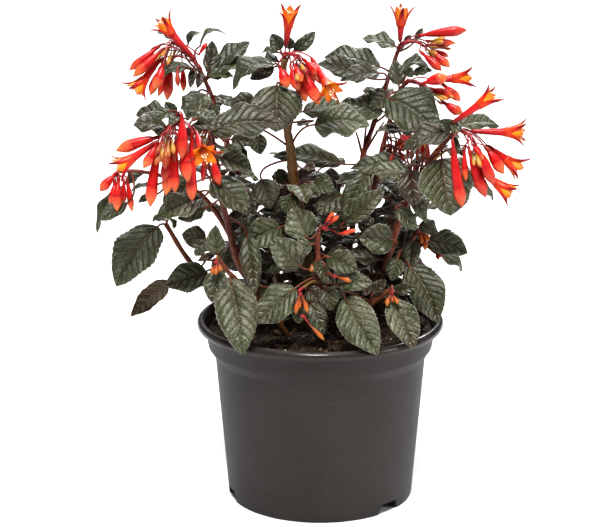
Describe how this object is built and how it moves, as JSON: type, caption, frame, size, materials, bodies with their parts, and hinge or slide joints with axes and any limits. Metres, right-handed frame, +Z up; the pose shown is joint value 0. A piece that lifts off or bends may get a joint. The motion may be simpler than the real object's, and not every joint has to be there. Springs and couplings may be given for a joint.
{
  "type": "potted koralle fuchsia",
  "caption": "Bushy fuchsia house plant with dark felted leaves and hanging sprays of coral-red tube flowers and buds, rooted in soil in a round black plastic nursery pot.",
  "frame": {"origin": "middle of the underside of the pot's foot, on the ground plane", "axes": "+Z up along the pot's axis, -Y towards the front of the plant, +X to the right seen from the front"},
  "size_m": [0.2907, 0.207, 0.3477],
  "materials": {
    "foliage": "matt, softly felted",
    "flowers": "satin",
    "young_buds": "satin",
    "pot_plastic": "satin",
    "soil": "rough, crumbly"
  },
  "bodies": {
    "root": {"leafy_stem_top_left": "foliage", "leafy_stem_left": "foliage", "leafy_stem_left_side": "foliage", "leafy_stem_low_left": "foliage", "leafy_stem_front_left": "foliage", "leafy_stem_centre": "foliage", "leafy_stem_centre_right": "foliage", "leafy_stem_right_middle": "foliage", "leafy_stem_right": "foliage", "leafy_stem_low_right": "foliage", "leafy_stem_front_right": "foliage", "leafy_stem_front": "foliage", "leafy_stem_back_left": "foliage", "leafy_stem_back": "foliage", "leafy_stem_back_right": "foliage", "leafy_stem_back_low": "foliage", "flower_spray_top_left": "flowers", "flower_spray_left": "flowers", "flower_spray_left_side": "flowers", "flower_spray_centre": "flowers", "flower_spray_centre_right": "flowers", "flower_spray_right_middle": "flowers", "flower_spray_right": "flowers", "flower_spray_back_left": "flowers", "flower_spray_back_right": "flowers", "bud_spray_front_top": "young_buds", "bud_spray_front_low": "young_buds", "bud_spray_front_foot": "young_buds", "bud_spray_front_side": "young_buds", "bud_spray_low_left": "young_buds", "bud_spray_low_right": "young_buds", "bud_spray_right_middle": "young_buds", "bud_spray_front_right": "young_buds", "pot": "pot_plastic", "potting_soil": "soil"}
  },
  "joints": []
}
